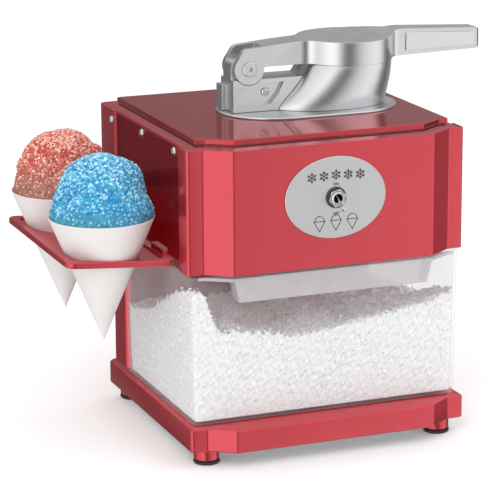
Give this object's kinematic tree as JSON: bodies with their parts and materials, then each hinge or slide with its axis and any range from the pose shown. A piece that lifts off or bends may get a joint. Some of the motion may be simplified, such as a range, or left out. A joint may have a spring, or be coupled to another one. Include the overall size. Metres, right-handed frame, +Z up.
{
  "type": "shaved ice machine",
  "caption": "Countertop shaved ice machine: press lever over a cast hopper, motor housing with toggle switch, clear pull-out bin, hung side tray with paper cones.",
  "frame": {"origin": "centre of the whole object's footprint box, on the floor", "axes": "+Z up, the front with the switch and the bin pull faces -Y, +X to the machine's right-hand side as seen from the front"},
  "size_m": [0.4088, 0.267, 0.3462],
  "materials": {
    "red_housing": "deep metallic red gloss over moulded plastic",
    "top_panel": "mirror-gloss dark red top",
    "cast_alloy": "satin cast aluminium",
    "badge": "brushed aluminium",
    "steel": "bright steel",
    "dark_plastic": "dark moulded plastic",
    "nylon": "natural nylon",
    "bearing_brass": "plain bearing brass",
    "clear_plastic": "clear moulded plastic",
    "frosted_plastic": "frosted translucent plastic",
    "cup_card": "white coated card",
    "rubber": "black rubber"
  },
  "bodies": {
    "machine": {"base": "red_housing", "front_fascia": "red_housing", "rear_cover": "red_housing", "side_panel_left": "red_housing", "side_panel_right": "red_housing", "rear_column": "red_housing", "motor_deck": "red_housing", "housing_deck": "red_housing", "foot_front_left": "red_housing", "foot_front_right": "red_housing", "foot_rear_left": "red_housing", "foot_rear_right": "red_housing", "top_plate": "top_panel", "hopper_flange": "cast_alloy", "hopper_bowl": "cast_alloy", "hinge_bracket": "cast_alloy", "badge_plate": "badge", "bracket_screw": "steel", "hinge_pin": "steel", "hinge_pin_cap": "steel", "motor_can": "steel", "switch_nut": "steel", "switch_bushing": "steel", "side_screw_left_1": "steel", "side_screw_left_2": "steel", "side_screw_left_3": "steel", "side_screw_right_1": "steel", "side_screw_right_2": "steel", "side_screw_right_3": "steel", "base_bottom_plate": "steel", "top_gasket": "dark_plastic", "gearbox_housing": "dark_plastic", "switch_body": "dark_plastic", "switch_ring": "dark_plastic", "grinding_chamber": "nylon", "ice_chute": "nylon", "bearing_tube": "bearing_brass", "foot_pad_front_left": "rubber", "foot_pad_front_right": "rubber", "foot_pad_rear_left": "rubber", "foot_pad_rear_right": "rubber", "cord_inlet": "rubber"},
    "lever": {"press_lever": "cast_alloy", "handle_grip_panel": "cast_alloy", "pusher": "nylon"},
    "blade_rotor": {"drive_shaft": "steel", "drive_gear": "nylon", "blade_disc": "steel", "blade_a": "steel", "blade_b": "steel", "blade_nut": "steel"},
    "motor_rotor": {"motor_shaft": "steel", "motor_pinion": "steel"},
    "switch_toggle": {"switch_lever": "steel"},
    "bin": {"ice_bin": "clear_plastic", "bin_handle": "frosted_plastic"},
    "tray": {"cone_tray": "red_housing"},
    "cup_front_body": {"cup_front": "cup_card"},
    "cup_rear_body": {"cup_rear": "cup_card"}
  },
  "joints": [
    {"name": "lever_hinge", "type": "hinge", "parent": "machine", "child": "lever", "pos_m": [-0.019, 0.0044, 0.3208], "axis": [0, -1, 0], "range_deg": [0, 85]},
    {"name": "bin_slide", "type": "slide", "parent": "machine", "child": "bin", "axis": [0, -1, 0], "range_m": [0, 0.165]},
    {"name": "toggle_tilt", "type": "hinge", "parent": "machine", "child": "switch_toggle", "pos_m": [0.017, -0.1177, 0.2274], "axis": [-1, 0, 0], "range_deg": [0, 52]},
    {"name": "blade_spin", "type": "hinge", "parent": "machine", "child": "blade_rotor", "pos_m": [0.0766, 0.0044, 0.25], "axis": [0, 0, 1], "continuous": true},
    {"name": "motor_spin", "type": "hinge", "parent": "machine", "child": "motor_rotor", "pos_m": [0.0766, 0.0408, 0.2], "axis": [0, 0, 1], "continuous": true},
    {"name": "tray_pull", "type": "slide", "parent": "machine", "child": "tray", "axis": [-1, 0, 0], "range_m": [0, 0.05]},
    {"name": "cone_front_lift", "type": "slide", "parent": "tray", "child": "cup_front_body", "axis": [0, 0, 1], "range_m": [0, 0.12]},
    {"name": "cone_rear_lift", "type": "slide", "parent": "tray", "child": "cup_rear_body", "axis": [0, 0, 1], "range_m": [0, 0.12]}
  ],
  "couplings": [
    {"joint": "motor_spin", "follows": "blade_spin", "ratio": -3}
  ]
}
